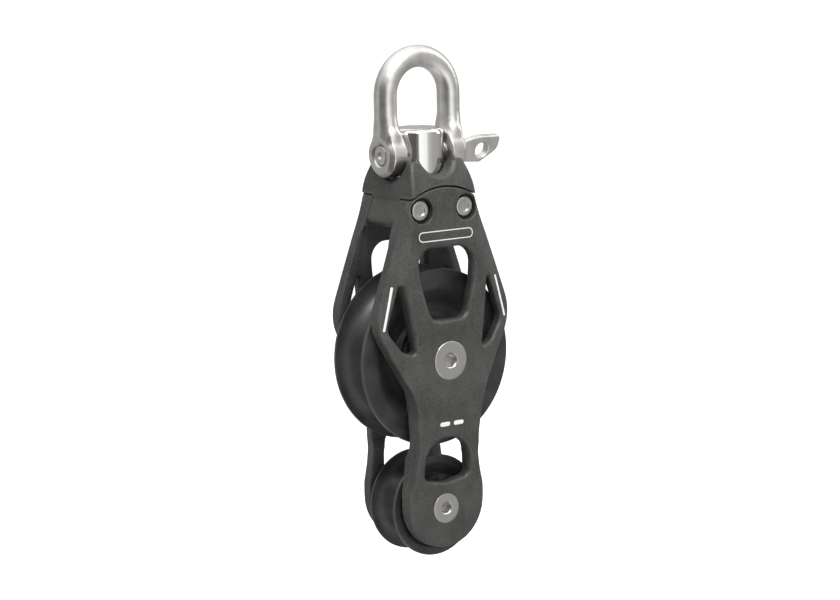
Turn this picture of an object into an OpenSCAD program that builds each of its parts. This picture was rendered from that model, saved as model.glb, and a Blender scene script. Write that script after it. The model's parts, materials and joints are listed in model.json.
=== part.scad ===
// A shackle-hung block with a large sheave over a small tail sheave, both in line between two side plates.
// The origin is the inside of the shackle's crown, where the block hangs.
// X runs across the block, Y along the sheave axles and Z up. The near side plate is on the -Y side.

/* [Stations] */
// Height from the pin's axis up to the inside of the shackle's crown
crown_rise = 21.4; // [20.4:0.1:26]
// Height from the main axle up to the pin's axis
pin_rise = 51.4; // [51.4:0.1:52.4]
// Distance from the main axle down to the tail axle
axle_gap = 38.4; // [37.6:0.1:38.6]

/* [Sheaves] */
// Diameter of the main sheave
main_d = 45; // [43:0.5:45]
// Width of the main sheave at its rims
main_w = 12.9; // [12.5:0.1:12.9]
// Diameter of the rope groove's round in the main sheave
main_groove_d = 11.2; // [8:0.1:11.2]
// Diameter of the tail sheave
tail_d = 26; // [24:0.5:26]
// Width of the tail sheave at its rims
tail_w = 10.8; // [10.4:0.1:11.2]
// Diameter of the rope groove's round in the tail sheave
tail_groove_d = 9.4; // [7:0.1:9.4]

/* [Shackle] */
// Diameter of the shackle's bar
bar_d = 5.6; // [4.5:0.1:5.8]
// Distance between the centres of the shackle's legs
leg_pitch = 19.4; // [19:0.1:20]
// Gap between the shackle's ears
jaw = 14; // [13.6:0.1:14.2]
// Diameter of the shackle's ears
ear_d = 11.2; // [10:0.1:11.4]
// Diameter of the shackle pin
pin_d = 5; // [4.5:0.1:5.2]
// Turn of the pin's handle about the pin, from upright
handle_tilt = 15; // [0:1:20]

/* [Post] */
// Diameter of the shackle post
post_d = 13; // [12:0.1:13]
// Height of the post's top over the pin's axis
post_rise = 6.4; // [5.5:0.1:6.6]

/* [Bearings] */
// Number of balls on each side of the main sheave
main_ball_count = 16; // [8:1:17]
// Number of balls on each side of the tail sheave
tail_ball_count = 14; // [8:1:15]

/* [Hidden] */
$fn = 64;
eps = 0.01;
through = 20; // reach of a cut that goes right through

// heights of the axes
pin_z = -crown_rise;
main_z = pin_z - pin_rise;
tail_z = main_z - axle_gap;

// colours
steel = [0.72, 0.70, 0.67];
anodised = [0.24, 0.24, 0.24];
dark = [0.13, 0.13, 0.13];
acetal = [0.85, 0.84, 0.80];

// shackle
leg_x = leg_pitch / 2;
crown_z = bar_d / 2 - leg_x;
ear_out = 11.8;
ear_bevel = 0.8;
bar_foot = 5; // the bar's foot and the neck's top and half width there, over the pin's axis
neck_top = 8.4;
neck_half = 2.3;
neck_angle = 20; // where the neck leaves the ear's round
pin_play = 0.06;
sink_r = 3.2;
sink_depth = 0.4;
collar_r = 3.4;
collar_out = 12.6;
shaft_out = 12.4;
handle_t = 2.2;
handle_eye_r = 1.9;
handle_eye = [19.4, -0.6];
// corners are [distance along the pin, height over its axis, corner radius]
handle_corners = [[12.2, 1.8, 0.6], [18, 3.1, 14], [24.9, 2.9, 0.7], [24.7, -0.6, 3], [19.4, -3.9, 1.2],
    [12.2, -3.3, 0.8]];

// head: half width and half depth at each height over the main axle
head_foot = 40.6;
head_slices = [[40.6, 10.0, 11.3], [45, 9.4, 10.5], [48, 8.7, 9.2], [50, 8.0, 8.2]];
head_round = 2;
head_gap = 0.35;
tongue_y = 6;
tongue_half = [[10, head_foot + 1, 0.1], [12.9, 34, 0.5], [9, 33.6, 3], [5, 34.1, 3]];
scallop_in = 4.5;
scallop_r = 5.2;
scallop_out = 12;
scallop_r_out = 8.2;
seat_z = 44.3;
stem_r = 2.6;
post_edge = 1.6;
post_play = 0.1;
bush_r = 3.3;
flange_r = 6;
flange_t = 0.8;
stem_foot = 32.8;
nut_seat = 35.6;
nut_r = 4;
nut_h = 2.4;
nut_play = 0.2;
washer_t = 0.5;

// side plates: corners are [half width, height over the main axle, corner radius]
arch_r = 18.7;
arch_z = 24.8;
plate_half = [[0, 46.9, arch_r], [10.1, 40.6, 0.6], [14, 31.3, 30], [21.26, 10.33, 10.9], [11.9, -7.1, 10],
    [10, -20.5, 20], [11.8, -33.5, 12], [11.7, -48.5, 11.6]];
window_half = [[8.7, 28.4, 4.2], [7.9, 20, 20], [5.1, 10.4, 3]];
lower_window_half = [[6.8, -20, 6.4], [6.8, -30.5, 1.8], [0, -31.8, 8]];
slit = [[13.3, 21.6, 0.6], [17.6, 8.8, 3.2], [13.6, 3.3, 3], [10.3, 2.5, 0.7]];
// [height over the main axle, outer face, inner face]
plate_faces = [[48, 10.9, 6], [38, 11.1, 6], [34, 11.3, 6], [28, 11.7, 8.2], [14, 12.6, 9.3], [6, 12.8, 9.3],
    [-8, 12.8, 9.3], [-21.5, 11.6, 8.3], [-24.5, 11.3, 6.8], [-36, 10, 6.8], [-50, 10, 6.8]];
panel_x = 12;
// leg cross sections: [height, ridge x, ridge outer y, edge x, edge outer y, inner y]
leg_sections = [[41, 11.5, 11.1, 12.6, 9.2, 6], [22, 11.5, 12, 18.4, 9.6, 6.9],
    [5, 9.5, 12.8, 21.4, 10.2, 6.9], [-10, 9.5, 12.75, 13.4, 12.3, 9.2]];

// axle screws: [head radius, shank radius, tip]
main_face = 12.8;
tail_face = 10;
main_screw = [4.95, 2.45, 3];
tail_screw = [3.9, 1.95, 2.2];
thread_play = 0.05;
main_socket = 3;
tail_socket = 2.5;
socket_depth = 1.9;

// hubs and bearings
hub_r = 5;
hub_half = 8.4;
tail_hub_r = 3.5;
tail_hub_half = 6.2;
run_play = 0.05;
main_bush_r = 6.4;
tail_bush_r = 4.6;
// [ball radius, ball circle, sheave face, race face, race back, race inner r, race outer r]
main_track = [1.25, 8.5, 5, 7.6, 9.3, 6.8, 10.2];
tail_track = [1, 6.6, 4, 6.1, 6.8, 5.1, 8.2];
main_boss_r = 6.6;
tail_boss_r = 4.9;
race_seat_play = 0.1;
cage_play = 0.2;
pocket_play = 0.05;

// sheave sections: [radius, half width] of the dished side, then the rim
main_side = [[main_track[6] + 0.5, 5.6], [17.5, 5.6], [20, main_w / 2]];
tail_side = [[tail_track[6] + 0.4, 4.6], [9.6, 4.6], [11, tail_w / 2]];
rim_bevel = 0.3;
main_groove_in = 0.4; // from the rim in to the groove's centre
tail_groove_in = 0.3;

// head screws
head_screw_x = 6.8;
head_screw_z = 38.1;
button_r = 2.5;
button_out = 10.25;
button_in = 8.9;
button_bore = 3.3;
recess_r = 1.4;
recess_depth = 0.5;
screw_tip = -4;
barrel_tip = -8;
barrel_r = 2.4;
shank_r = 1.6;

// ---- functions ----
function unit(v) = v / norm(v);
function mirrored(half) = [for (i = [len(half) - 1:-1:0])
    if (half[i][0] > 0) [-half[i][0], half[i][1], half[i][2]]];
function whole(half) = concat(half, mirrored(half));
// an arc at each corner of a closed outline, tangent to both of its sides
function rounded(c) = [for (i = [0:len(c) - 1])
    let(p = [c[i][0], c[i][1]], r = c[i][2], n = len(c),
        a = unit([c[(i + n - 1) % n][0], c[(i + n - 1) % n][1]] - p),
        b = unit([c[(i + 1) % n][0], c[(i + 1) % n][1]] - p),
        open = acos(max(-1, min(1, a * b))), sweep = 180 - open, steps = max(2, ceil(sweep / 9)),
        reach = r / tan(open / 2), centre = p + unit(a + b) * r / sin(open / 2),
        u = unit(p + a * reach - centre), v = unit(p + b * reach - centre))
    for (k = [0:steps])
        centre + r * (u * sin(sweep * (1 - k / steps)) + v * sin(sweep * k / steps)) / sin(sweep)];

// ---- shared shapes ----
// along Y, with the drawing's height as Z
module across(from, to) translate([0, to, 0]) rotate([90, 0, 0]) linear_extrude(to - from) children();
// turned about Y at a height; the profile is [radius, y]
module on_axle(z) translate([0, 0, z]) rotate([-90, 0, 0]) rotate_extrude() children();
module rod_y(r, from, to, z, x = 0) translate([x, from, z]) rotate([-90, 0, 0])
    cylinder(r = r, h = to - from);
module rod_x(r, from, to) translate([from, 0, pin_z]) rotate([0, 90, 0]) cylinder(r = r, h = to - from);
module cone_y(r1, r2, from, to, z) translate([0, from, z]) rotate([-90, 0, 0])
    cylinder(r1 = r1, r2 = r2, h = to - from);
module near() mirror([0, 1, 0]) children();
module both_sides() { children(); mirror([0, 1, 0]) children(); }
module both_ends() { children(); mirror([1, 0, 0]) children(); }
module ring(r_in, r_out, from, to) polygon([[r_in, from], [r_out, from], [r_out, to], [r_in, to]]);

// ---- shackle ----
module leg() {
    translate([leg_x, 0, pin_z + bar_foot]) cylinder(d = bar_d, h = crown_z - pin_z - bar_foot);
    foot = ear_d / 2 * [cos(neck_angle), sin(neck_angle)];
    translate([jaw / 2, 0, pin_z]) rotate([90, 0, 90]) linear_extrude(ear_out - ear_bevel - jaw / 2)
        polygon([[neck_half, neck_top], foot, [0, 0], [-foot[0], foot[1]], [-neck_half, neck_top]]);
    ear_profile = [[0, jaw / 2], [ear_d / 2, jaw / 2], [ear_d / 2, ear_out - ear_bevel],
        [ear_d / 2 - ear_bevel, ear_out], [0, ear_out]];
    translate([0, 0, pin_z]) rotate([0, 90, 0]) rotate_extrude() polygon(ear_profile);
}
module sink() translate([ear_out - sink_depth, 0, pin_z]) rotate([0, 90, 0])
    cylinder(r1 = pin_d / 2 + pin_play, r2 = sink_r, h = sink_depth + 0.3);
module shackle_bow() color(steel) difference() {
    union() {
        translate([0, 0, crown_z]) rotate([90, 0, 0])
            rotate_extrude(angle = 180) translate([leg_x, 0]) circle(d = bar_d);
        both_ends() leg();
    }
    rod_x(pin_d / 2 + pin_play, -through, through);
    both_ends() sink();
}
module about_pin(angle) translate([0, 0, pin_z]) rotate([angle, 0, 0]) translate([0, 0, -pin_z]) children();
module shackle_pin() color(steel) {
    rod_x(pin_d / 2, -ear_out + 0.2, shaft_out);
    rod_x(collar_r, ear_out + 0.2, collar_out);
    about_pin(handle_tilt) difference() {
        translate([0, 0, pin_z]) across(-handle_t / 2, handle_t / 2) polygon(rounded(handle_corners));
        rod_y(handle_eye_r, -through, through, pin_z + handle_eye[1], handle_eye[0]);
    }
}

// ---- post ----
module shackle_post() color(steel) difference() {
    top = pin_rise + post_rise;
    corner = [post_d / 2 - post_edge, top - post_edge];
    round_edge = [for (a = [0:15:90]) corner + post_edge * [cos(a), sin(a)]];
    stem = [[0, stem_foot], [stem_r, stem_foot], [stem_r, seat_z], [post_d / 2, seat_z]];
    translate([0, 0, main_z]) rotate_extrude() polygon(concat(stem, round_edge, [[0, top]]));
    rod_x(pin_d / 2 + pin_play, -through, through);
}
module post_washer() color(steel) translate([0, 0, main_z + nut_seat - washer_t]) difference() {
    cylinder(r = nut_r, h = washer_t);
    translate([0, 0, -1]) cylinder(r = stem_r + thread_play, h = 3);
}
module post_nut() color(steel) translate([0, 0, main_z + nut_seat - washer_t - nut_h]) difference() {
    cylinder(r = nut_r, h = nut_h, $fn = 6);
    translate([0, 0, -1]) cylinder(r = stem_r, h = nut_h + 2);
}
module post_bush() color(acetal) translate([0, 0, main_z]) difference() {
    union() {
        translate([0, 0, nut_seat]) cylinder(r = bush_r, h = seat_z - flange_t - nut_seat);
        translate([0, 0, seat_z - flange_t]) cylinder(r = flange_r, h = flange_t - 0.1);
    }
    translate([0, 0, nut_seat - 1]) cylinder(r = stem_r + run_play, h = through);
}

// ---- head ----
module head_slice(s) translate([0, 0, s[0]]) linear_extrude(eps)
    polygon(rounded(whole([[s[1], s[2], head_round], [s[1], -s[2], head_round]])));
module scallop() translate([0, 0, pin_rise]) rotate([0, 90, 0]) translate([0, 0, scallop_in])
    cylinder(r1 = scallop_r, r2 = scallop_r_out, h = scallop_out - scallop_in);
module head() color(anodised) translate([0, 0, main_z]) difference() {
    union() {
        difference() {
            hull() for (s = head_slices) head_slice(s);
            both_sides() rod_y(arch_r + head_gap, tongue_y, through, arch_z);
        }
        across(-tongue_y, tongue_y) polygon(rounded(whole(tongue_half)));
    }
    translate([0, 0, seat_z]) cylinder(r = post_d / 2 + post_play, h = through);
    translate([0, 0, seat_z - flange_t]) cylinder(r = flange_r, h = 2);
    translate([0, 0, nut_seat - 1]) cylinder(r = bush_r, h = through);
    translate([0, 0, nut_seat - through]) cylinder(r = nut_r + nut_play, h = through);
    for (turn = [0:90:270]) rotate([0, 0, turn]) scallop();
    both_ends() rod_y(barrel_r, -through, through, head_screw_z, head_screw_x);
}

// ---- side plates ----
module plate_outline() difference() {
    polygon(rounded(whole(plate_half)));
    polygon(rounded(whole(window_half)));
    polygon(rounded(whole(lower_window_half)));
    polygon(rounded(slit));
    mirror([1, 0]) polygon(rounded(slit));
}
module panel() rotate([90, 0, 90]) translate([0, 0, -panel_x]) linear_extrude(2 * panel_x) {
    outer = [for (f = plate_faces) [f[1], f[0]]];
    inner = [for (i = [len(plate_faces) - 1:-1:0]) [plate_faces[i][2], plate_faces[i][0]]];
    polygon(concat(outer, inner));
}
module leg_section(s) {
    section = [[s[1], s[5]], [s[3], s[5]], [s[3], s[4]], [s[1], s[2]]];
    translate([0, 0, s[0]]) linear_extrude(eps) polygon(section);
}
module plate_leg() for (i = [0:len(leg_sections) - 2]) hull() {
    leg_section(leg_sections[i]);
    leg_section(leg_sections[i + 1]);
}
module screw_hole(s, face, z) {
    rod_y(s[1] + thread_play, 0, through, z);
    cone_y(s[1] + thread_play, s[0] + thread_play + 1, face - (s[0] - s[1]), face + 1, z);
}
module plate() translate([0, 0, main_z]) difference() {
    union() {
        difference() {
            intersection() {
                across(5, 14) plate_outline();
                union() {
                    panel();
                    both_ends() plate_leg();
                }
            }
            rod_y(main_track[6] + race_seat_play, 5, main_track[4], 0);
        }
        rod_y(main_boss_r, hub_half, main_face - 2, 0);
        rod_y(tail_boss_r, tail_hub_half, tail_face - 2, -axle_gap);
    }
    screw_hole(main_screw, main_face, 0);
    screw_hole(tail_screw, tail_face, -axle_gap);
    both_ends() rod_y(button_bore, button_in, through, head_screw_z, head_screw_x);
    both_ends() rod_y(barrel_r, 0, through, head_screw_z, head_screw_x);
}
module near_sideplate() color(anodised) near() plate();
module far_sideplate() color(anodised) plate();

// ---- fasteners ----
module axle_screw(s, face, socket, z) difference() {
    union() {
        rod_y(s[1], s[2], face - (s[0] - s[1]) + eps, z);
        cone_y(s[1], s[0], face - (s[0] - s[1]), face, z);
    }
    translate([0, face - socket_depth, z]) rotate([-90, 0, 0]) cylinder(d = socket / cos(30), h = 3, $fn = 6);
}
module main_axle_screws() color(steel) both_sides() axle_screw(main_screw, main_face, main_socket, main_z);
module tail_axle_screws() color(steel) both_sides() axle_screw(tail_screw, tail_face, tail_socket, tail_z);
module button(x) difference() {
    rod_y(button_r, button_in, button_out, main_z + head_screw_z, x);
    rod_y(recess_r, button_out - recess_depth, button_out + 1, main_z + head_screw_z, x);
}
module head_screws() color(steel) both_ends() near() {
    button(head_screw_x);
    rod_y(shank_r, screw_tip, button_in, main_z + head_screw_z, head_screw_x);
}
module head_barrels() color(steel) both_ends() difference() {
    union() {
        button(head_screw_x);
        rod_y(barrel_r, barrel_tip, button_in + eps, main_z + head_screw_z, head_screw_x);
    }
    rod_y(shank_r, barrel_tip - 1, -screw_tip + 2, main_z + head_screw_z, head_screw_x);
}

// ---- hubs and bearings ----
module main_hub() color(steel) on_axle(main_z) ring(main_screw[1] + thread_play, hub_r, -hub_half, hub_half);
module tail_hub() color(steel) on_axle(tail_z)
    ring(tail_screw[1] + thread_play, tail_hub_r, -tail_hub_half, tail_hub_half);
module race(t, z) on_axle(z) ring(t[5], t[6], t[3], t[4]);
module balls(t, count, z) for (i = [0:count - 1]) rotate_on_axle(360 * i / count, z)
    translate([t[1], (t[2] + t[3]) / 2, z]) sphere(r = t[0], $fn = 24);
module rotate_on_axle(angle, z) translate([0, 0, z]) rotate([0, angle, 0]) translate([0, 0, -z]) children();
module cage(t, count, z) difference() {
    mid = (t[2] + t[3]) / 2;
    half = t[0] * 0.45;
    on_axle(z) ring(t[5] + cage_play, t[6] - cage_play, mid - half, mid + half);
    for (i = [0:count - 1]) rotate_on_axle(360 * i / count, z)
        rod_y(t[0] + pocket_play, mid - 3, mid + 3, z, t[1]);
}
module near_main_race() color(steel) near() race(main_track, main_z);
module far_main_race() color(steel) race(main_track, main_z);
module near_tail_race() color(steel) near() race(tail_track, tail_z);
module far_tail_race() color(steel) race(tail_track, tail_z);
module near_main_balls() color(acetal) near() balls(main_track, main_ball_count, main_z);
module far_main_balls() color(acetal) balls(main_track, main_ball_count, main_z);
module near_tail_balls() color(acetal) near() balls(tail_track, tail_ball_count, tail_z);
module far_tail_balls() color(acetal) balls(tail_track, tail_ball_count, tail_z);
module near_main_cage() color(dark) near() cage(main_track, main_ball_count, main_z);
module far_main_cage() color(dark) cage(main_track, main_ball_count, main_z);
module near_tail_cage() color(dark) near() cage(tail_track, tail_ball_count, tail_z);
module far_tail_cage() color(dark) cage(tail_track, tail_ball_count, tail_z);

// ---- sheaves ----
// a section from the bore out to the rim and back, less the rope groove's round
module sheave(z, d, bush_r, track, side, groove_d, groove_in) on_axle(z) difference() {
    w = side[len(side) - 1][1];
    bore = [[bush_r, track[2]], [track[6] + 0.1, track[2]]];
    half = concat(bore, side, [[d / 2 - rim_bevel, w], [d / 2, w - rim_bevel]]);
    polygon(concat(half, [for (i = [len(half) - 1:-1:0]) [half[i][0], -half[i][1]]]));
    translate([d / 2 - groove_in, 0]) circle(d = groove_d, $fn = 96);
}
module main_sheave() color(dark)
    sheave(main_z, main_d, main_bush_r, main_track, main_side, main_groove_d, main_groove_in);
module tail_sheave() color(dark)
    sheave(tail_z, tail_d, tail_bush_r, tail_track, tail_side, tail_groove_d, tail_groove_in);
module main_bush() color(acetal) on_axle(main_z)
    ring(hub_r + run_play, main_bush_r, -main_track[2], main_track[2]);
module tail_bush() color(acetal) on_axle(tail_z)
    ring(tail_hub_r + run_play, tail_bush_r, -tail_track[2], tail_track[2]);

shackle_bow();
shackle_pin();
shackle_post();
post_nut();
post_washer();
post_bush();
head();
near_sideplate();
far_sideplate();
head_screws();
head_barrels();
main_axle_screws();
tail_axle_screws();
main_hub();
tail_hub();
near_main_race();
far_main_race();
near_tail_race();
far_tail_race();
main_sheave();
main_bush();
near_main_balls();
far_main_balls();
near_main_cage();
far_main_cage();
tail_sheave();
tail_bush();
near_tail_balls();
far_tail_balls();
near_tail_cage();
far_tail_cage();
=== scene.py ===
# A double sheave block in forged and anodised aluminium, hung from a stainless shackle.
# Shapes are worked out in millimetres over the main axle and laid down in metres in the part's own frame.
import json
import math

import bmesh
import bpy
import numpy as np
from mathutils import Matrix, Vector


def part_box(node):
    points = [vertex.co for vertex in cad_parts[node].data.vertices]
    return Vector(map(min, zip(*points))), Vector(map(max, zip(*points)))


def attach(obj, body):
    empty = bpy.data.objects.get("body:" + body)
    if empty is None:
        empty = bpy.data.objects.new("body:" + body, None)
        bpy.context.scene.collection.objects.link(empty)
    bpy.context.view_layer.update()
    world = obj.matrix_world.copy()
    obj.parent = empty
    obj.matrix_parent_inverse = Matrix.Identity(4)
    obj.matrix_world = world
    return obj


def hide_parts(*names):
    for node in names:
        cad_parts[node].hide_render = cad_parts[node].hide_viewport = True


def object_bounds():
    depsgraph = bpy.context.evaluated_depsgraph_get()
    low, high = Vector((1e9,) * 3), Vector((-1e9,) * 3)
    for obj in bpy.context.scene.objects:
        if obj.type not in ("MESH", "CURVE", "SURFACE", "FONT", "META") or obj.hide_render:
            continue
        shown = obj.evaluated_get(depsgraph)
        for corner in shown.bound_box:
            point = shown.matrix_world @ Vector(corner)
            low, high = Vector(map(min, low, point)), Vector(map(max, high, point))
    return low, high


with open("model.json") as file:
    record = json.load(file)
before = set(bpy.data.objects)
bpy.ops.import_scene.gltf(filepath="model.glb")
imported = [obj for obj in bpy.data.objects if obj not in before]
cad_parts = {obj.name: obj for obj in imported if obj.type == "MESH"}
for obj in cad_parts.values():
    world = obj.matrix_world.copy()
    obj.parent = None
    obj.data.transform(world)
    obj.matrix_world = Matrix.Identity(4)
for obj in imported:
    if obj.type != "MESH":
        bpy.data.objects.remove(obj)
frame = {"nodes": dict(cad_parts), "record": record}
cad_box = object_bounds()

import openvdb
from mathutils import Matrix, Vector

MM = 0.001
joints = {j["name"]: j for j in frame["record"]["behaviour"]["joints"]}
MAIN_Z = joints["main_spin"]["pos_m"][2] / MM
TAIL = joints["tail_spin"]["pos_m"][2] / MM - MAIN_Z
PIN = joints["shackle_swing"]["pos_m"][2] / MM - MAIN_Z
CROWN = -MAIN_Z


# ---- camera ----
def set_camera():
    azimuth, elevation, roll = math.radians(35.67), math.radians(10.23), math.radians(0.97)
    distance, focal, sensor = 0.7258, 122.4, 36.0
    aim_right, aim_up = -0.0004, 0.01876
    right = Vector((math.cos(azimuth), -math.sin(azimuth), 0))
    level = math.cos(elevation)
    ahead = Vector((math.sin(azimuth) * level, math.cos(azimuth) * level, -math.sin(elevation)))
    up = right.cross(ahead)
    place = Vector((0, 0, MAIN_Z * MM)) - ahead * distance
    right, up = right * math.cos(roll) - up * math.sin(roll), right * math.sin(roll) + up * math.cos(roll)
    ahead = (ahead + right * aim_right + up * aim_up).normalized()
    right = (right - ahead * right.dot(ahead)).normalized()
    up = right.cross(ahead)
    data = bpy.data.cameras.new("camera")
    data.lens = focal
    data.sensor_width = sensor
    data.clip_start = 0.01
    camera = bpy.data.objects.new("camera", data)
    bpy.context.scene.collection.objects.link(camera)
    turn = Matrix((right, up, -ahead)).transposed().to_4x4()
    camera.matrix_world = Matrix.Translation(place) @ turn
    bpy.context.scene.camera = camera


set_camera()


# ---- shader expressions ----
class Value:
    """A shader socket that takes part in Python expressions."""

    def __init__(self, paint, socket):
        self.paint = paint
        self.socket = socket

    def _math(self, operation, first, second):
        return self.paint.add("ShaderNodeMath", {"operation": operation}, {0: first, 1: second})

    def __add__(self, other):
        return self._math("ADD", self, other)

    def __radd__(self, other):
        return self._math("ADD", other, self)

    def __sub__(self, other):
        return self._math("SUBTRACT", self, other)

    def __rsub__(self, other):
        return self._math("SUBTRACT", other, self)

    def __mul__(self, other):
        return self._math("MULTIPLY", self, other)

    def __rmul__(self, other):
        return self._math("MULTIPLY", other, self)

    def __truediv__(self, other):
        return self._math("DIVIDE", self, other)

    def __gt__(self, other):
        return self._math("GREATER_THAN", self, other)


class Tree:
    """A node tree that is written as expressions."""

    def __init__(self, tree):
        self.tree = tree

    def add(self, kind, settings, inputs, out=0):
        node = self.tree.nodes.new(kind)
        for key, value in settings.items():
            if key == "stops":
                ends = node.color_ramp.elements
                ends[0].position, ends[0].color = value[0][0], (*value[0][1], 1)
                ends[1].position, ends[1].color = value[-1][0], (*value[-1][1], 1)
                for at, colour in value[1:-1]:
                    ends.new(at).color = (*colour, 1)
            else:
                setattr(node, key, value)
        for key, value in inputs.items():
            self.feed(node.inputs[key], value)
        return Value(self, node.outputs[out])

    def feed(self, socket, value):
        if isinstance(value, Value):
            self.tree.links.new(value.socket, socket)
        elif isinstance(value, tuple) and len(value) == 3 and socket.type == "RGBA":
            socket.default_value = (*value, 1)
        else:
            socket.default_value = value

    def call(self, operation, first, second=0.0):
        return self.add("ShaderNodeMath", {"operation": operation}, {0: first, 1: second})

    def smooth(self, value, low, high):
        settings = {"interpolation_type": "SMOOTHSTEP"}
        return self.add("ShaderNodeMapRange", settings, {"Value": value, "From Min": low, "From Max": high})

    def mix(self, amount, first, second):
        inputs = {0: amount, 6: first, 7: second}
        return self.add("ShaderNodeMix", {"data_type": "RGBA"}, inputs, 2)

    def dot(self, vector, other):
        return self.add("ShaderNodeVectorMath", {"operation": "DOT_PRODUCT"}, {0: vector, 1: other}, "Value")


class Paint(Tree):
    """One material: a Principled shader and the nodes that feed it."""

    def __init__(self, name):
        self.material = bpy.data.materials.new(name)
        self.material.use_nodes = True
        super().__init__(self.material.node_tree)
        self.shader = self.tree.nodes["Principled BSDF"]
        self.place = self.add("ShaderNodeTexCoord", {}, {}, "Object")

    def set(self, **inputs):
        for key, value in inputs.items():
            self.feed(self.shader.inputs[key.replace("_", " ")], value)

    def noise(self, size_mm, detail=2, at=None):
        inputs = {"Vector": at or self.place, "Scale": 1 / (size_mm * MM), "Detail": detail}
        return self.add("ShaderNodeTexNoise", {}, inputs, "Fac")

    def stretched(self, x, y, z):
        return self.add("ShaderNodeMapping", {}, {"Vector": self.place, "Scale": (x, y, z)})

    def coords(self):
        """Object coordinates in millimetres over the main axle."""
        split = self.add("ShaderNodeSeparateXYZ", {}, {"Vector": self.place}).socket.node
        x, y, z = (Value(self, split.outputs[i]) / MM for i in range(3))
        return x, y, z - MAIN_Z

    def bump(self, height, depth_mm, strength=1.0):
        inputs = {"Height": height, "Distance": depth_mm * MM, "Strength": strength}
        self.set(Normal=self.add("ShaderNodeBump", {}, inputs))

    def edge(self):
        return self.add("ShaderNodeAttribute", {"attribute_name": "edge"}, {}, "Fac")


# ---- materials ----
def box_distance(p, u, v, half_u, half_v, corner):
    """The distance to a rounded rectangle about the origin of u and v."""
    across = p.call("MAXIMUM", p.call("ABSOLUTE", u) - (half_u - corner), 0.0)
    along = p.call("MAXIMUM", p.call("ABSOLUTE", v) - (half_v - corner), 0.0)
    return p.call("SQRT", across * across + along * along) - corner


def printed_marks(p):
    """Plain white printing on a plate's outer face: a bar in outline, a stripe down each leg and two dashes."""
    x, y, z = p.coords()
    side = p.call("ABSOLUTE", x)
    frame_line = p.call("ABSOLUTE", box_distance(p, x, z - 31.6, 8.2, 1.15, 1.1)) - 0.11
    lean = math.atan2(3.1, 12.0)
    u, v = side - 17.35, z - 14.5
    c, s = math.cos(lean), math.sin(lean)
    stripe = box_distance(p, u * c + v * s, v * c - u * s, 0.30, 5.6, 0.28)
    dashes = box_distance(p, p.call("ABSOLUTE", x - 0.5) - 2.1, z + 16.2, 1.5, 0.55, 0.5)
    nearest = p.call("MINIMUM", frame_line, p.call("MINIMUM", stripe, dashes))
    return (1 - p.smooth(nearest, -0.05, 0.06)) * (p.call("ABSOLUTE", y) > 9.0)


def anodised_grey(name, marks=False):
    """Bead-blasted forged aluminium under a matte dark grey anodise."""
    p = Paint(name)
    grain = p.noise(0.22, 3)
    cloud = p.noise(9, 3)
    flow = p.noise(1.6, 2, p.stretched(1, 1, 0.25))
    speckle = p.noise(0.4, 4)
    tone = p.smooth(cloud * 0.3 + speckle * 0.55 + flow * 0.15, 0.36, 0.64)
    body = p.mix(tone, (0.022, 0.0216, 0.0206), (0.052, 0.0513, 0.0489))
    # Convex edges are painted lighter: partly edge wear, partly a painted highlight where the edges catch the
    # light.
    wear_and_edge_highlight = p.smooth(p.edge(), 0.45, 0.95) * (0.3 + grain * 0.6)
    body = p.mix(wear_and_edge_highlight * 0.4, body, (0.10, 0.098, 0.093))
    specks = p.smooth(p.noise(0.5, 4), 0.71, 0.76) * p.smooth(p.noise(5, 2), 0.5, 0.7)
    body = p.mix(specks * 0.6, body, (0.2, 0.2, 0.19))
    rough = 0.36 + cloud * 0.12 + grain * 0.14
    if marks:
        ink = printed_marks(p)
        body = p.mix(ink, body, (0.60, 0.60, 0.59))
        rough = rough + ink * 0.1
    p.set(Base_Color=body, Metallic=0.15, Roughness=rough)
    p.bump(grain * 0.4 + speckle * 0.5 + flow * 0.1, 0.05, 0.6)
    return p.material


def anodised_black(name, height, radius):
    """Turned aluminium under a satin black anodise, with fine rings from the lathe and a painted highlight along
    the rim.
    """
    p = Paint(name)
    x, y, z = p.coords()
    z = z - height
    spread = p.call("SQRT", x * x + z * z)
    rings = p.noise(1, 2, p.add("ShaderNodeCombineXYZ", {}, {0: spread * (MM * 9), 1: y * (MM * 9), 2: 0.0}))
    grain = p.noise(0.3, 2)
    cloud = p.noise(7, 2)
    # A thin lighter band just inside the rim: a painted highlight on the rim lip.
    lip = p.smooth(spread, radius - 0.45, radius - 0.05)
    rubbed = p.smooth(p.noise(2.5, 4), 0.55, 0.75) * (1 - p.smooth(spread, radius - 3, radius - 0.5))
    body = p.mix(p.smooth(cloud, 0.3, 0.7), (0.016, 0.016, 0.0155), (0.03, 0.03, 0.029))
    body = p.mix(rubbed * 0.25, body, (0.04, 0.04, 0.038))
    body = p.mix(lip * 0.3, body, (0.08, 0.08, 0.076))
    p.set(Base_Color=body, Metallic=0.1, Roughness=0.3 + cloud * 0.1 + rings * 0.08)
    p.bump(rings * 0.8 + grain * 0.2, 0.012, 0.5)
    return p.material


def forged_steel():
    """Stainless steel, forged and tumbled: soft dents, fine pits and a satin sheen."""
    p = Paint("forged_steel")
    dents = p.noise(3.2, 2)
    pits = p.noise(0.35, 3)
    draw = p.noise(0.5, 2, p.stretched(1, 1, 0.12))
    tone = p.smooth(dents, 0.3, 0.7)
    p.set(Base_Color=p.mix(tone, (0.58, 0.565, 0.545), (0.70, 0.685, 0.665)), Metallic=1.0)
    p.set(Roughness=0.24 + pits * 0.18 + dents * 0.06)
    p.bump(dents * 0.4 + pits * 0.22 + draw * 0.12, 0.07, 0.4)
    return p.material


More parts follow.
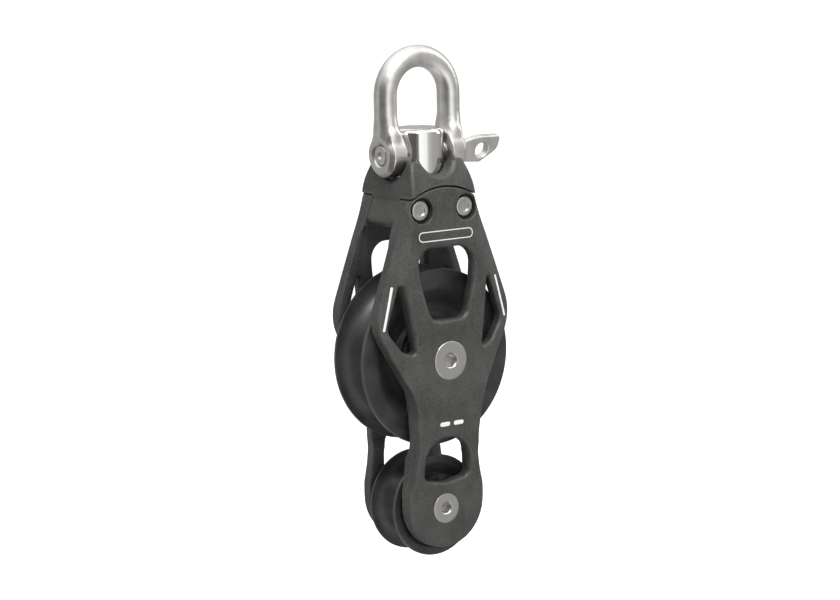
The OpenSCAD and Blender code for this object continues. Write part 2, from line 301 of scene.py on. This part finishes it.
def polished_steel():
    """Turned and buffed stainless steel with faint rings and hairline scratches."""
    p = Paint("polished_steel")
    rings = p.noise(0.5, 2, p.stretched(0.03, 0.03, 1))
    scratch = p.smooth(p.noise(0.3, 4, p.stretched(1, 0.2, 0.06)), 0.6, 0.8)
    p.set(Base_Color=p.mix(rings, (0.66, 0.65, 0.63), (0.72, 0.71, 0.69)), Metallic=1.0)
    p.set(Roughness=0.07 + scratch * 0.12 + rings * 0.05)
    p.bump(rings, 0.004, 0.35)
    return p.material


def turned_steel(name, places):
    """Machined stainless steel: rings round each of the named axes, (x, height) in millimetres."""
    p = Paint(name)
    x, y, z = p.coords()
    spread = None
    for at_x, at_z in places:
        across = x - at_x
        along = z - at_z
        here = p.call("SQRT", across * across + along * along)
        spread = here if spread is None else p.call("MINIMUM", spread, here)
    rings = p.noise(1, 3, p.add("ShaderNodeCombineXYZ", {}, {0: spread * (MM * 12), 1: y * MM, 2: 0.0}))
    pits = p.noise(0.18, 3)
    p.set(Base_Color=p.mix(pits, (0.42, 0.41, 0.395), (0.56, 0.55, 0.53)), Metallic=1.0)
    p.set(Roughness=0.24 + rings * 0.14 + pits * 0.08)
    p.bump(rings * 0.6 + pits * 0.4, 0.02, 0.5)
    return p.material


def blackened(name):
    """Blackened steel with a rubbed sheen."""
    p = Paint(name)
    rub = p.noise(1.4, 4)
    pits = p.noise(0.15, 2)
    p.set(Base_Color=p.mix(p.smooth(rub, 0.4, 0.75), (0.02, 0.02, 0.02), (0.06, 0.058, 0.055)), Metallic=0.6)
    p.set(Roughness=0.32 + pits * 0.2)
    p.bump(pits, 0.01, 0.4)
    return p.material


def moulded(name, dark, light, rough):
    """Plain moulded plastic with a faint flow pattern."""
    p = Paint(name)
    flow = p.noise(2.2, 3)
    grain = p.noise(0.15, 2)
    p.set(Base_Color=p.mix(p.smooth(flow, 0.3, 0.7), dark, light), Roughness=rough + grain * 0.12)
    p.bump(grain, 0.01, 0.4)
    return p.material


def studio_white(name, glow):
    p = Paint(name)
    p.set(Base_Color=p.mix(p.noise(90, 2), (0.90, 0.90, 0.90), (0.93, 0.93, 0.93)), Roughness=0.9)
    p.set(Emission_Color=(1.0, 1.0, 1.0), Emission_Strength=glow)
    return p.material


# ---- distance fields: negative inside, in millimetres ----
def length(*parts):
    return np.sqrt(sum(part * part for part in parts))


def both(a, b, r):
    """Where a and b meet, with the edge rounded to radius r."""
    return np.minimum(-r, np.maximum(a, b)) + length(np.maximum(a + r, 0), np.maximum(b + r, 0))


def either(a, b, r):
    """a joined to b with a fillet of radius r."""
    return np.maximum(r, np.minimum(a, b)) - length(np.maximum(r - a, 0), np.maximum(r - b, 0))


def without(a, b, r):
    return both(a, -b, r)


def rounded(corners, step=7):
    """A closed outline from [u, v, radius] corners, with an arc at each."""
    points = []
    c = np.array(corners, float)
    for i in range(len(c)):
        p, r = c[i, :2], c[i, 2]
        a = c[i - 1, :2] - p
        b = c[(i + 1) % len(c), :2] - p
        a, b = a / np.linalg.norm(a), b / np.linalg.norm(b)
        opening = math.acos(max(-1, min(1, a @ b)))
        centre = p + (a + b) / np.linalg.norm(a + b) * r / math.sin(opening / 2)
        reach = r / math.tan(opening / 2)
        u, v = p + a * reach - centre, p + b * reach - centre
        sweep = math.pi - opening
        steps = max(2, math.ceil(math.degrees(sweep) / step))
        for k in range(steps + 1):
            t = k / steps
            points.append(centre + (u * math.sin(sweep * (1 - t)) + v * math.sin(sweep * t)) / math.sin(sweep))
    return points


def whole(half):
    """The corners of both halves of an outline that is the same left and right."""
    return half + [[-u, v, r] for u, v, r in reversed(half) if u > 0]


def outline(points):
    """The signed distance in a plane from a closed outline."""
    a = np.array(points)
    b = np.roll(a, -1, 0)

    def distance(u, v):
        shape = np.broadcast_shapes(np.shape(u), np.shape(v))
        best = np.full(shape, 1e9)
        inside = np.zeros(shape, bool)
        for (au, av), (bu, bv) in zip(a, b):
            eu, ev = bu - au, bv - av
            if abs(eu) + abs(ev) < 1e-9:
                continue
            t = np.clip(((u - au) * eu + (v - av) * ev) / (eu * eu + ev * ev), 0, 1)
            best = np.minimum(best, (u - au - t * eu) ** 2 + (v - av - t * ev) ** 2)
            if ev:
                inside ^= ((av > v) != (bv > v)) & (u < au + (v - av) * eu / ev)
        return np.where(inside, -1, 1) * np.sqrt(best)

    return distance


def curve(stations, blur=2.5):
    """A smooth curve through [at, value] stations."""
    at, value = np.array(sorted(stations)).T

    def read(z):
        return sum(np.interp(z + d, at, value) for d in np.linspace(-blur, blur, 7)) / 7

    return read


def skin(field, low, high, step, mend=2):
    """A quad mesh of the field's surface, drawn onto it exactly, with how near each point lies to a convex edge
    as an attribute, which feeds edge wear and a painted edge highlight.
    """
    low = np.array(low, float) - 2 * step
    counts = np.ceil((np.array(high, float) + 2 * step - low) / step).astype(int) + 1
    x, y, z = (low[i] + step * np.arange(counts[i]) for i in range(3))
    values = field(x[:, None, None], y[None, :, None], z[None, None, :])
    values = np.clip(np.broadcast_to(values, tuple(counts)), -3 * step, 3 * step)
    grid = openvdb.FloatGrid()
    grid.background = 3 * step
    grid.copyFromArray(np.ascontiguousarray(values, np.float32))
    points, quads = grid.convertToQuads(0.0)
    points = points.astype(float) * step + low
    for _ in range(mend):
        normal, here = slope(field, points, step * 0.5)
        points -= normal * np.clip(here, -step, step)[:, None]
    normal, _ = slope(field, points, step * 0.5)
    depth = 0.7
    within = field(*(points - normal * depth).T)
    edge = np.clip((within + depth) / depth, 0, 1)
    a, b, c, d = (points[quads[:, i]] for i in range(4))
    volume = (a * np.cross(b, c)).sum() + (a * np.cross(c, d)).sum()
    if volume < 0:
        quads = quads[:, ::-1]
    return points, quads, edge


def slope(field, points, h):
    """The field's direction of growth at each point, and how far off its surface the point is."""
    x, y, z = points.T
    here = field(x, y, z)
    g = np.stack([field(x + h, y, z) - field(x - h, y, z),
                  field(x, y + h, z) - field(x, y - h, z),
                  field(x, y, z + h) - field(x, y, z - h)], 1) / (2 * h)
    size = np.maximum(np.linalg.norm(g, axis=1), 0.3)
    return g / size[:, None], here / size


def lay(name, points, faces, material, edge=None):
    """A mesh object from points in millimetres over the main axle."""
    mesh = bpy.data.meshes.new(name)
    points = np.array(points, float) * MM
    points[:, 2] += MAIN_Z * MM
    mesh.from_pydata(points.tolist(), [], faces.tolist())
    mesh.polygons.foreach_set("use_smooth", [True] * len(mesh.polygons))
    if edge is not None:
        mesh.attributes.new("edge", "FLOAT", "POINT").data.foreach_set("value", edge.astype(np.float32))
    mesh.materials.append(material)
    mesh.update()
    piece = bpy.data.objects.new(name, mesh)
    bpy.context.scene.collection.objects.link(piece)
    return piece


def flipped(points, faces):
    """The same shape on the other side of the XZ plane."""
    return points * [1, -1, 1], faces[:, ::-1]


# ---- side plates ----
ARCH_R, ARCH_Z = 18.7, 24.8
plate_edge = outline(rounded(whole([
    [0, 46.9, ARCH_R], [10.1, 40.6, 0.6], [14, 31.3, 30], [21.26, 10.33, 10.9],
    [11.9, -7.1, 10], [10, -20.5, 20], [11.8, -33.5, 12], [11.7, -48.5, 11.6]])))
window = outline(rounded(whole([[8.7, 28.4, 4.2], [7.9, 20, 20], [5.1, 10.4, 3]])))
lower_window = outline(rounded(whole([[6.8, -20, 6.4], [6.8, -30.5, 1.8], [0, -31.8, 8]])))
slit = outline(rounded([[13.3, 21.6, 0.6], [17.6, 8.8, 3.2], [13.6, 3.3, 3], [10.3, 2.5, 0.7]]))
crest = curve([[48, 10.85], [38, 11.1], [28, 11.7], [14, 12.6], [6, 12.8], [-8, 12.8], [-20, 11.8],
               [-31, 10.6], [-36, 10], [-50, 10]])
ridge_x = curve([[44, 8.6], [38, 10.2], [31, 10.8], [22, 10.4], [16, 9.8], [11, 9.6], [5, 9.4],
                 [-3, 9.8], [-12, 12]])
half_width = curve([[44, 9.6], [41, 10.25], [31, 14], [23, 16.9], [16, 19.3], [11, 20.3], [6, 19.2],
                    [1.5, 16.5], [-5, 13.2], [-12, 12.6]], 1.5)
edge_out = curve([[44, 9.1], [31, 9.3], [23, 9.6], [18, 9.75], [11, 10], [8.5, 10.3], [5, 10.7],
                  [0, 11.3], [-6, 12], [-12, 12.4]])
inner_floor = curve([[48, 6], [33, 6], [29, 6.9], [-50, 6.9]], 0.8)
inset = curve([[-4, 0], [-8.5, 0.5], [-10.5, 1.05], [-14, 1.1], [-17.5, 0.9], [-22, 0.8], [-25, 1.2],
               [-28.4, 1.05], [-31, 0.7], [-33, 0.35], [-36, 0.1], [-50, 0.05]], 0.6)
TONGUE_HALF = 6.0
PLATE_T = 3.5
HEAD_SCREW = (6.8, 38.1)
MAIN_FACE, TAIL_FACE = 12.8, 10.0


def plate_out(ax, z):
    """How far out the plate's face stands: a flat crest, and a slope from the ridge to the edge."""
    top = crest(z)
    fall = np.maximum(top - edge_out(z), 0) / np.maximum(half_width(z) - ridge_x(z), 0.8)
    side = top - (ax - ridge_x(z)) * fall
    soft = 0.9
    meet = np.maximum(soft - np.abs(top - side), 0) / soft
    out = np.minimum(top, side) - meet * meet * soft / 4
    return np.where(z > -12, out, top)


def plate(x, y, z):
    ax = np.abs(x)
    out = plate_out(ax, z)
    rise = (plate_out(ax + 0.1, z) - plate_out(ax - 0.1, z)) / 0.2
    flat = 1 / np.sqrt(1 + rise * rise)
    inner = np.where(z > 33, TONGUE_HALF, np.maximum(out - PLATE_T, inner_floor(z)))
    inner = np.minimum(inner, np.where(z < -21, np.interp(z, [-24.5, -21.5], [6.8, 8.3]), 20))
    faces = both((y - out) * flat, (inner - y), 0.2)
    draft = inset(z) * np.clip((y - inner) / (out - inner), 0, 1)
    parting = 0.10 * np.exp(-((y - out + 1.15) / 0.14) ** 2)
    d = both(faces, plate_edge(ax, z) + draft + parting, 0.42)
    d = without(d, window(ax, z), 1.3)
    d = without(d, lower_window(ax, z), 1.1)
    d = without(d, slit(ax, z), 1.1)
    spread = length(x, z)
    low = length(x, z - TAIL)
    d = either(d, both(both(spread - 6.6, 8.4 - y, 0.3), y - 11.5, 0.2), 0.4)
    d = either(d, both(both(low - 4.9, 6.2 - y, 0.3), y - 9, 0.2), 0.4)
    for reach, face, shank, mouth in ((spread, MAIN_FACE, 2.5, 5.07), (low, TAIL_FACE, 2.0, 4.02)):
        countersink = reach - np.maximum(shank, mouth - np.maximum(face - y, 0))
        d = without(d, countersink * 0.75, 0.12)
    button = length(ax - HEAD_SCREW[0], z - HEAD_SCREW[1])
    d = without(d, both(button - 3.25, 8.9 - y, 0.1), 0.3)
    return without(d, button - 2.45, 0.1)


# ---- head ----
HEAD_FOOT, HEAD_TOP = 40.6, 50.0
POST_R, POST_SEAT, STEM_R = 6.5, 44.3, 2.6
tongue = outline(rounded(whole([[9.45, 41.6, 0.1], [12.6, 33.9, 1.5], [9, 33.5, 3], [5, 34.1, 3]])))


def head(x, y, z):
    ax, ay = np.abs(x), np.abs(y)
    t = np.clip((z - HEAD_FOOT) / (HEAD_TOP - HEAD_FOOT), 0, 1.2)
    half_x = 8.0 + 2.0 * (1 - t ** 1.9)
    half_y = 8.2 + 3.1 * (1 - t ** 1.7)
    corner = 1.1
    qx, qy = ax - half_x + corner, ay - half_y + corner
    side = length(np.maximum(qx, 0), np.maximum(qy, 0)) + np.minimum(np.maximum(qx, qy), 0) - corner
    d = both(side * 0.93, z - HEAD_TOP, 0.45)
    d = both(d, HEAD_FOOT - z, 0.15)
    arch = length(x, z - ARCH_Z) - (ARCH_R + 0.4)
    d = np.maximum(d, -np.maximum(arch, TONGUE_HALF - ay))
    d = np.minimum(d, both(tongue(ax, z), ay - TONGUE_HALF + 0.02, 0.25))
    for near, far, reach, flare, bevel in ((ax, y, 5.6, 0.2, 0.6), (ay, x, 4.75, 0.1, 0.6)):
        scallop = (length(far, z - PIN) - (reach + flare * (near - 4.5))) * 0.93
        cut = np.maximum(scallop, 4.0 - near)
        d = np.maximum(without(d, cut, 0.12), (d - cut + bevel) * 0.7071)
    middle = length(x, y)
    d = without(d, np.maximum(middle - POST_R - 0.12, POST_SEAT - 0.1 - z), 0.3)
    d = without(d, np.maximum(middle - 4.2, z - 35.6), 0.2)
    return without(d, np.maximum(middle - 3.3, z - 46), 0.05)


# ---- shackle ----
BAR_R, BAR_SIDE, LEG_X, EAR_R = 2.8, 3.1, 9.7, 5.6
BEND_Z = CROWN + BAR_R - LEG_X
EAR_IN, EAR_OUT = 7.0, 11.8


def shackle(x, y, z):
    ax = np.abs(x)
    side = y * BAR_R / BAR_SIDE
    bend = length(ax, z - BEND_Z) - LEG_X
    foot = np.minimum(z - (PIN + 6), 0)
    leg = length(ax - LEG_X, side, foot)
    bar = np.where(z > BEND_Z, length(bend, side), leg) - BAR_R
    spread = length(y, z - PIN)
    rim = spread - EAR_R
    outer, inner = ax - EAR_OUT, EAR_IN - ax
    ear = both(both(rim, outer, 0.15), inner, 0.4)
    ear = np.maximum(ear, (rim + outer + 1.05) * 0.7071)
    rise = 8.6
    t = np.clip((z - PIN) / rise, 0, 1)
    cheeks = np.maximum(outer + 0.35 + 0.9 * t, inner + 1.5 * t * t)
    neck = both(np.abs(y) - (EAR_R - 0.15 - 3.3 * t ** 0.9), cheeks, 1.4)
    neck = both(neck, np.abs(z - PIN - rise / 2) - rise / 2, 0.8)
    d = either(either(ear, neck, 0.9), bar, 2.2)
    knuckle = length((ax - 9.3) / 1.9, (y + 3.5) / 1.0, (z - PIN - 4.9) / 1.7) - 1
    d = either(d, knuckle, 0.9)
    d = without(d, spread - 2.56, 0.1)
    return without(d, (spread - (2.75 + (ax - EAR_OUT + 0.35) * 1.1)) * 0.67, 0.12)


# ---- pin ----
HANDLE_TILT = math.radians(15)
handle = outline(rounded([[12.2, 1.8, 0.6], [18, 3.1, 14], [24.9, 2.9, 0.7], [24.7, -0.6, 3], [19.4, -3.9, 1.2],
                          [12.2, -3.3, 0.8]]))


def shackle_pin(x, y, z):
    z = z - PIN
    spread = length(y, z)
    shaft = both(spread - 2.5, np.maximum(-11.6 - x, x - 12.6), 0.35)
    dimple = length(x + 12.0, y, z) - 1.1
    shaft = without(shaft, dimple, 0.15)
    collar = both(spread - 3.4, np.maximum(12.0 - x, x - 13.0), 0.3)
    flat_y = y * math.cos(HANDLE_TILT) + z * math.sin(HANDLE_TILT)
    flat_z = z * math.cos(HANDLE_TILT) - y * math.sin(HANDLE_TILT)
    tab = both(handle(x, flat_z), np.abs(flat_y) - 1.1, 0.45)
    eye = length(x - 19.4, flat_z + 0.6) - 1.9
    tab = without(tab, eye, 0.4)
    return either(either(shaft, collar, 0.2), tab, 0.6)


# ---- screws ----
def hexagon(u, v, flats):
    u, v = np.abs(u), np.abs(v)
    return np.maximum(v, u * math.cos(math.pi / 6) + v * 0.5) - flats / 2


def axle_screw(at, face, head_r, shank_r, tip, flats):
    def field(x, y, z):
        z = z - at
        spread = length(x, z)
        cone = (spread - (head_r - np.maximum(face - 0.35 - y, 0))) * 0.75
        d = both(np.maximum(cone, spread - head_r), y - face, 0.22)
        below = both(d, face - 0.35 - (head_r - shank_r) - y, 0.05)
        d = np.minimum(below, np.maximum(spread - shank_r, y - face + 1))
        d = np.maximum(d, tip - y)
        socket = np.maximum(hexagon(x, z, flats), face - 2 - y)
        d = without(d, socket, 0.08)
        return without(d, (spread - (flats * 0.5 + 0.42 + (y - face))) * 0.7, 0.05)
    return field


def button(inner, shank):
    def field(x, y, z):
        spread = length(np.abs(x) - HEAD_SCREW[0], z - HEAD_SCREW[1])
        d = both(spread - 2.5, np.maximum(y - 10.25, 8.95 - y), 0.3)
        d = without(d, both(spread - 1.35, 9.8 - y, 0.1), 0.12)
        return np.minimum(d, np.maximum(spread - shank, np.maximum(y - 9.2, inner - y)))
    return field


# ---- turned pieces ----
def turned(name, section, material, centre, upright=False, turns=160):
    """A closed section of [radius, along] turned about the Y axis at a height, or about Z."""
    section = np.array(section)
    count = len(section)
    angle = 2 * math.pi * np.arange(turns) / turns
    r, along = section[:, 0][None, :], section[:, 1][None, :]
    a, b = r * np.cos(angle)[:, None], r * np.sin(angle)[:, None]
    along = np.broadcast_to(along, a.shape)
    points = np.stack([a, b, along + centre] if upright else [a, along, b + centre], 2).reshape(-1, 3)
    on_axis = section[:, 0] == 0
    spans = np.flatnonzero(~(on_axis & np.roll(on_axis, -1)))
    i, k = np.meshgrid(np.arange(turns), spans, indexing="ij")
    n, m = (i + 1) % turns, (k + 1) % count
    faces = np.stack([i * count + k, i * count + m, n * count + m, n * count + k], 2).reshape(-1, 4)
    piece = lay(name, points, faces, material)
    tidy(piece)
    return piece


def tidy(piece, sharp=35):
    """Merges doubles, turns every face outwards and keeps crisp edges crisp."""
    work = bmesh.new()
    work.from_mesh(piece.data)
    bmesh.ops.remove_doubles(work, verts=work.verts, dist=1e-7)
    bmesh.ops.dissolve_degenerate(work, dist=1e-8, edges=work.edges)
    bmesh.ops.recalc_face_normals(work, faces=work.faces)
    for edge in work.edges:
        if len(edge.link_faces) == 2 and edge.calc_face_angle(0) > math.radians(sharp):
            edge.smooth = False
    work.to_mesh(piece.data)
    work.free()


def sheave_section(rim, half, groove_r, groove_at, side):
    """A sheave's section: one side from the bore to the rim, the rope groove, then the other side."""
    lip = math.acos((rim - 0.12 - groove_at) / groove_r)
    sweep = np.linspace(lip, 2 * math.pi - lip, 61)
    groove = [[groove_at + groove_r * math.cos(a), groove_r * math.sin(a)] for a in sweep]
    mouth = groove[0][1]
    corners = side + [[rim, half, 0.28], [rim, mouth, 0.1], [groove_at, 0, 0.1], [rim, -mouth, 0.1],
                      [rim, -half, 0.28]] + [[r, -a, c] for r, a, c in reversed(side)]
    deep = groove_at - groove_r * 0.9
    points = rounded(corners, 12)
    flat = [p for p in points if not (deep < p[0] < rim - 0.15 and abs(p[1]) < mouth)]
    upper = [p for p in flat if p[1] > 0 or p[0] < side[0][0] + 0.2 and p[1] > -0.01]
    lower = [p for p in flat if not any(p is q for q in upper)]
    return [list(p) for p in upper] + groove + [list(p) for p in lower]


# ---- rings of balls, by geometry nodes ----
def ball_ring_tree():
    """A tree that sets balls round a ring whose axis is Y."""
    tree = bpy.data.node_groups.new("ball_ring", "GeometryNodeTree")
    face = tree.interface
    face.new_socket("Geometry", in_out="INPUT", socket_type="NodeSocketGeometry")
    for title, kind in (("Count", "Int"), ("Ring Radius", "Float"), ("Ball Radius", "Float"),
                        ("Centre", "Vector"), ("Material", "Material")):
        face.new_socket(title, in_out="INPUT", socket_type="NodeSocket" + kind)
    face.new_socket("Geometry", in_out="OUTPUT", socket_type="NodeSocketGeometry")
    nodes, links = tree.nodes, tree.links
    given = nodes.new("NodeGroupInput")
    ring = nodes.new("GeometryNodeMeshCircle")
    links.new(given.outputs["Count"], ring.inputs["Vertices"])
    links.new(given.outputs["Ring Radius"], ring.inputs["Radius"])
    stand = nodes.new("GeometryNodeTransform")
    stand.inputs["Rotation"].default_value = (math.pi / 2, 0, 0)
    links.new(ring.outputs["Mesh"], stand.inputs["Geometry"])
    links.new(given.outputs["Centre"], stand.inputs["Translation"])
    ball = nodes.new("GeometryNodeMeshUVSphere")
    ball.inputs["Segments"].default_value = 24
    ball.inputs["Rings"].default_value = 14
    links.new(given.outputs["Ball Radius"], ball.inputs["Radius"])
    scatter = nodes.new("GeometryNodeInstanceOnPoints")
    links.new(stand.outputs["Geometry"], scatter.inputs["Points"])
    links.new(ball.outputs["Mesh"], scatter.inputs["Instance"])
    real = nodes.new("GeometryNodeRealizeInstances")
    links.new(scatter.outputs["Instances"], real.inputs["Geometry"])
    smooth = nodes.new("GeometryNodeSetShadeSmooth")
    links.new(real.outputs["Geometry"], smooth.inputs["Geometry"])
    paint = nodes.new("GeometryNodeSetMaterial")
    links.new(smooth.outputs["Geometry"], paint.inputs["Geometry"])
    links.new(given.outputs["Material"], paint.inputs["Material"])
    result = nodes.new("NodeGroupOutput")
    links.new(paint.outputs["Geometry"], result.inputs["Geometry"])
    return tree


def grown(name, tree, values):
    """The tree's result with these inputs, as a plain mesh."""
    seed = bpy.data.objects.new(name + "_seed", bpy.data.meshes.new(name + "_seed"))
    bpy.context.scene.collection.objects.link(seed)
    modifier = seed.modifiers.new("grow", "NODES")
    modifier.node_group = tree
    for item in tree.interface.items_tree:
        if item.in_out == "INPUT" and item.name in values:
            modifier[item.identifier] = values[item.name]
    graph = bpy.context.evaluated_depsgraph_get()
    ready = seed.evaluated_get(graph)
    mesh = bpy.data.meshes.new_from_object(ready, preserve_all_data_layers=True, depsgraph=graph)
    mesh.name = name
    bpy.data.objects.remove(seed)
    piece = bpy.data.objects.new(name, mesh)
    bpy.context.scene.collection.objects.link(piece)
    return piece


def hand_over(piece, body, slot, *nodes):
    """Gives a finished piece its body and hides the nodes that it stands for; slot is not used."""
    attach(piece, body)
    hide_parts(*nodes)


# ---- making ----
grey = anodised_grey("anodised_grey_head")
printed_grey = anodised_grey("anodised_grey_plate", True)
steel = forged_steel()
shine = polished_steel()
main_black = anodised_black("anodised_black_main", 0, 22.5)
tail_black = anodised_black("anodised_black_tail", TAIL, 13)
screw_x, screw_z = HEAD_SCREW
screw_steel = turned_steel("turned_steel", [(0, 0), (0, TAIL), (screw_x, screw_z), (-screw_x, screw_z)])
race_steel = blackened("blackened_race")
acetal = moulded("acetal", (0.018, 0.018, 0.018), (0.03, 0.03, 0.029), 0.3)
cage_black = moulded("cage_plastic", (0.02, 0.02, 0.02), (0.035, 0.035, 0.035), 0.45)

points, quads, edge = skin(plate, (-20.6, 5.8, -48.7), (20.6, 13.0, 43.8), 0.27)
piece = lay("side_plate_far", points, quads, printed_grey, edge)
hand_over(piece, "block", "anodised_grey", "far_sideplate")
points, quads = flipped(points, quads)
piece = lay("side_plate_near", points, quads, printed_grey, edge)
hand_over(piece, "block", "anodised_grey", "near_sideplate")

points, quads, edge = skin(head, (-13.1, -11.4, 33.3), (13.1, 11.4, 50.1), 0.24)
hand_over(lay("head_cap", points, quads, grey, edge), "block", "anodised_grey", "head")

points, quads, edge = skin(shackle, (-12.6, -5.8, PIN - 5.8), (12.6, 5.8, CROWN + 5.6), 0.24)
hand_over(lay("shackle", points, quads, steel, edge), "shackle", "stainless_forged", "shackle_bow")
points, quads, edge = skin(shackle_pin, (-11.8, -3.6, PIN - 4.3), (25, 3.6, PIN + 4), 0.2)
hand_over(lay("screw_pin", points, quads, steel, edge), "pin", "stainless_forged", "shackle_pin")

POST_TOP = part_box("shackle_post")[1].z / MM - MAIN_Z
POST_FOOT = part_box("shackle_post")[0].z / MM - MAIN_Z
post_skin = rounded([[1.5, POST_FOOT, 0.01], [STEM_R, POST_FOOT, 0.3], [STEM_R, POST_SEAT, 0.05],
                     [POST_R, POST_SEAT, 0.3], [POST_R, POST_TOP, 1.5], [4.6, POST_TOP, 0.01]], 10)
post_section = [[0, POST_FOOT], *(list(point) for point in post_skin), [2.4, POST_TOP], [0, POST_TOP]]
piece = turned("post", post_section, shine, 0, True, 144)
hand_over(piece, "post", "stainless_polished", "shackle_post")

axle_screws = (
    ("main_screws", "main_axle_screws", axle_screw(0, MAIN_FACE, 4.95, 2.45, 3, 3.2),
     (-5, 3, -5), (5, 12.9, 5), 0.13),
    ("tail_screws", "tail_axle_screws", axle_screw(TAIL, TAIL_FACE, 3.9, 1.95, 2.2, 2.5),
     (-4, 2, TAIL - 4), (4, 10.1, TAIL + 4), 0.11))
for name, node, field, low, high, step in axle_screws:
    points, quads, edge = skin(field, low, high, step)
    other, turned_over = flipped(points, quads)
    both_points = np.concatenate([points, other])
    both_quads = np.concatenate([quads.astype(int), turned_over.astype(int) + len(points)])
    piece = lay(name, both_points, both_quads, screw_steel, np.tile(edge, 2))
    hand_over(piece, "block", "stainless_screw", node)

for name, node, near, inner, shank in (("head_screw_pair", "head_screws", True, -4, 1.6),
                                       ("head_barrel_pair", "head_barrels", False, -8, 2.38)):
    points, quads, edge = skin(button(inner, shank), (-9.4, inner, 35.4), (9.4, 10.3, 40.8), 0.14)
    if near:
        points, quads = flipped(points, quads)
    hand_over(lay(name, points, quads, screw_steel, edge), "block", "stainless_screw", node)

main_section = sheave_section(22.5, 6.44, 5.6, 22.1, [
    [6.4, 5, 0.15], [10.3, 5, 0.25], [11.2, 3.9, 0.8], [13.6, 3.9, 2.5], [17.4, 6.1, 3]])
tail_section = sheave_section(13, 5.4, 4.7, 12.7, [
    [4.6, 4, 0.1], [8.3, 4, 0.15], [8.7, 3.6, 0.2], [9.4, 3.9, 0.5], [10.8, 5.2, 1.2]])
piece = turned("main_sheave_wheel", main_section, main_black, 0, turns=224)
hand_over(piece, "main_sheave", "anodised_black", "main_sheave")
piece = turned("tail_sheave_wheel", tail_section, tail_black, TAIL, turns=160)
hand_over(piece, "tail_sheave", "anodised_black", "tail_sheave")

ring_tree = ball_ring_tree()
rings = (("main_rollers", "main", 0, 16, 8.5, 1.25, 6.3), ("tail_rollers", "tail", TAIL, 14, 6.6, 1.0, 5.05))
for body, stem, at, count, ring_r, ball_r, side in rings:
    for hand, sign in (("near", -1), ("far", 1)):
        piece = grown(f"{hand}_{stem}_ball_ring", ring_tree, {
            "Count": count, "Ring Radius": ring_r * MM, "Ball Radius": ball_r * MM,
            "Centre": (0, sign * side * MM, (at + MAIN_Z) * MM), "Material": acetal})
        hand_over(piece, body, "acetal", f"{hand}_{stem}_balls")

finishes = {
    "post_nut": screw_steel, "post_washer": screw_steel, "post_bush": acetal,
    "main_hub": screw_steel, "tail_hub": screw_steel, "main_bush": acetal, "tail_bush": acetal}
for place in ("near_main", "far_main", "near_tail", "far_tail"):
    finishes[place + "_race"] = race_steel
    finishes[place + "_cage"] = cage_black
for node, material in finishes.items():
    slots = frame["nodes"][node].data.materials
    slots.clear()
    slots.append(material)


# ---- studio ----
def stage_piece(name, points, faces, glow):
    mesh = bpy.data.meshes.new(name)
    mesh.from_pydata(points, [], faces)
    mesh.materials.append(studio_white(name, glow))
    piece = bpy.data.objects.new(name, mesh)
    bpy.context.scene.collection.objects.link(piece)
    return piece


def set_stage():
    """A pale floor under the block, and a round white wall far off that sheds no light and casts no shadow."""
    reach, drop, wall_r, wall_h, sides = 14.0, 0.12, 13.0, 12.0, 96
    z = cad_box[0][2] - drop
    corners = [(-reach, -reach, z), (reach, -reach, z), (reach, reach, z), (-reach, reach, z)]
    floor = stage_piece("floor", corners, [(0, 1, 2, 3)], 0.2)
    floor.visible_glossy = False
    turns = [2 * math.pi * i / sides for i in range(sides)]
    rim = [(wall_r * math.cos(a), wall_r * math.sin(a), h) for a in turns for h in (z, z + wall_h)]
    last = 2 * sides
    panels = [(i, i + 1, (i + 3) % last, (i + 2) % last) for i in range(0, last, 2)]
    wall = stage_piece("studio_wall", rim, panels, 1.0)
    wall.visible_diffuse = wall.visible_glossy = wall.visible_transmission = wall.visible_shadow = False


def softbox(name, bearing, height, distance, size, power):
    """A rectangular soft light that faces the block's middle; the bearing turns from +X towards +Y."""
    middle = Vector((0, 0, -0.055))
    angle = math.radians(bearing)
    place = middle + Vector((math.cos(angle) * distance, math.sin(angle) * distance, height))
    data = bpy.data.lights.new(name, "AREA")
    data.shape = "RECTANGLE"
    data.size, data.size_y = size
    data.energy = power
    lamp = bpy.data.objects.new(name, data)
    lamp.location = place
    lamp.rotation_euler = (middle - place).to_track_quat("-Z", "Y").to_euler()
    bpy.context.scene.collection.objects.link(lamp)


def set_room():
    """What the metal reflects: a bright band behind the camera, a dark band at its left, a pale ceiling."""
    world = bpy.data.worlds.new("studio")
    bpy.context.scene.world = world
    world.use_nodes = True
    t = Tree(world.node_tree)
    way = t.add("ShaderNodeTexCoord", {}, {}, "Generated")
    turn = t.call("ARCTAN2", t.dot(way, (-0.812, 0.583, 0.0)), t.dot(way, (-0.583, -0.812, 0.0)))
    bands = [(-180, 0.5), (-124, 0.3), (-108, 0.45), (-71, 0.5), (-50, 0.7), (-40, 1.3), (-8, 1.5),
             (-4, 0.3), (10, 0.12), (72, 0.2), (80, 0.8), (96, 0.5), (125, 0.4), (155, 0.7), (180, 0.5)]
    stops = [((a + 180) / 360, (v, v, v * 0.985)) for a, v in bands]
    ramp = t.add("ShaderNodeValToRGB", {"stops": stops}, {0: turn / (2 * math.pi) + 0.5})
    sky = t.mix(t.smooth(t.dot(way, (0.0, 0.0, 1.0)), 0.35, 0.8), ramp, (1.4, 1.4, 1.4))
    background = world.node_tree.nodes["Background"]
    t.feed(background.inputs["Color"], sky)
    background.inputs["Strength"].default_value = 1.0


set_stage()
set_room()
softbox("key", -118, 1.05, 0.62, (0.5, 0.5), 13)
softbox("side", -15, 0.5, 1.0, (0.4, 1.0), 3)
bpy.context.scene.view_settings.view_transform = "Standard"
